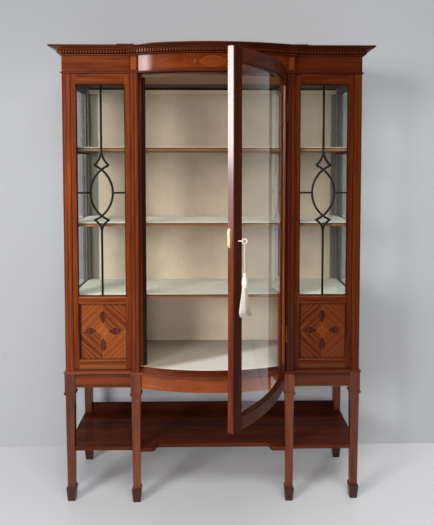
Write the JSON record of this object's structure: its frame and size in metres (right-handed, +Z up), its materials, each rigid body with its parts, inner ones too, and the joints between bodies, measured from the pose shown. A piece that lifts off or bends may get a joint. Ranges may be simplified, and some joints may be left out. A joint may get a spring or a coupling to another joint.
{
  "type": "bow-front display cabinet on a stand",
  "caption": "Inlaid mahogany breakfront display cabinet with a bowed glass door standing open, glazed sides, lined shelves and a stand of tapered legs with an undertier.",
  "frame": {"origin": "on the floor under the middle of the carcass, halfway across its width and its depth", "axes": "+X to the viewer's right, +Y from the front towards the wall, +Z up"},
  "size_m": [1.196, 0.8851, 1.725],
  "materials": {
    "mahogany": "french polished",
    "marquetry": "quarter veneered and inlaid, polished",
    "ebonised": "ebonised, satin",
    "pine": "plain, unpolished",
    "glass": "clear",
    "lining": "cream woven lining",
    "brass": "worn polish",
    "tassel_silk": "cream silk"
  },
  "bodies": {
    "cabinet": {"leg_front_left": "mahogany", "leg_inner_left": "mahogany", "leg_back_left": "mahogany", "apron_left": "mahogany", "post_front_left": "mahogany", "post_inner_left": "mahogany", "front_frame_left": "mahogany", "side_frame_left": "mahogany", "frieze_left": "mahogany", "front_panel_left": "marquetry", "leg_front_right": "mahogany", "leg_inner_right": "mahogany", "leg_back_right": "mahogany", "apron_right": "mahogany", "post_front_right": "mahogany", "post_inner_right": "mahogany", "front_frame_right": "mahogany", "side_frame_right": "mahogany", "frieze_right": "mahogany", "front_panel_right": "marquetry", "undertier": "mahogany", "undertier_upstand": "mahogany", "posts_back": "mahogany", "apron_centre": "mahogany", "apron_sides": "mahogany", "apron_back": "mahogany", "waist_moulding": "mahogany", "floor_board": "mahogany", "back_rail": "mahogany", "side_panels": "mahogany", "shelf_top": "mahogany", "shelf_middle": "mahogany", "shelf_lower": "mahogany", "shelf_bearers": "mahogany", "frieze_bead": "mahogany", "frieze_centre": "mahogany", "frieze_sides": "mahogany", "cornice": "mahogany", "dentil_course": "mahogany", "back_panel": "pine", "ceiling_board": "pine", "top_board": "pine", "front_glass": "glass", "side_glass": "glass", "floor_lining": "lining", "back_lining": "lining", "shelf_linings": "lining", "hinge_leaves_post": "brass", "glazing_bars": "ebonised"},
    "door": {"door_stile_lock": "mahogany", "door_stile_hinge": "mahogany", "door_rail_top": "mahogany", "door_rail_bottom": "mahogany", "door_glass": "glass", "hinge_leaves_door": "brass", "lock_case": "brass"},
    "key": {"key": "brass"},
    "bolt": {"lock_bolt": "brass"},
    "tassel": {"tassel_cord": "tassel_silk", "tassel": "tassel_silk"}
  },
  "joints": [
    {"name": "door_swing", "type": "hinge", "parent": "cabinet", "child": "door", "pos_m": [0.27575, -0.1907, 1.066], "axis": [0, 0, 1], "range_deg": [-68, 47]},
    {"name": "key_turn", "type": "hinge", "parent": "door", "child": "key", "pos_m": [0.09202, -0.69213, 1.071], "axis": [-0.9272, 0.3746, 0], "range_deg": [0, 90]},
    {"name": "bolt_slide", "type": "slide", "parent": "door", "child": "bolt", "axis": [-0.3746, -0.9272, 0], "range_m": [0, 0.008]},
    {"name": "tassel_swing", "type": "hinge", "parent": "key", "child": "tassel", "pos_m": [0.09202, -0.69213, 1.064], "axis": [-0.9272, 0.3746, 0], "range_deg": [-90, 0]}
  ],
  "couplings": [
    {"joint": "bolt_slide", "follows": "key_turn", "m_per_rad": 0.005093},
    {"joint": "tassel_swing", "follows": "key_turn", "ratio": -1}
  ]
}
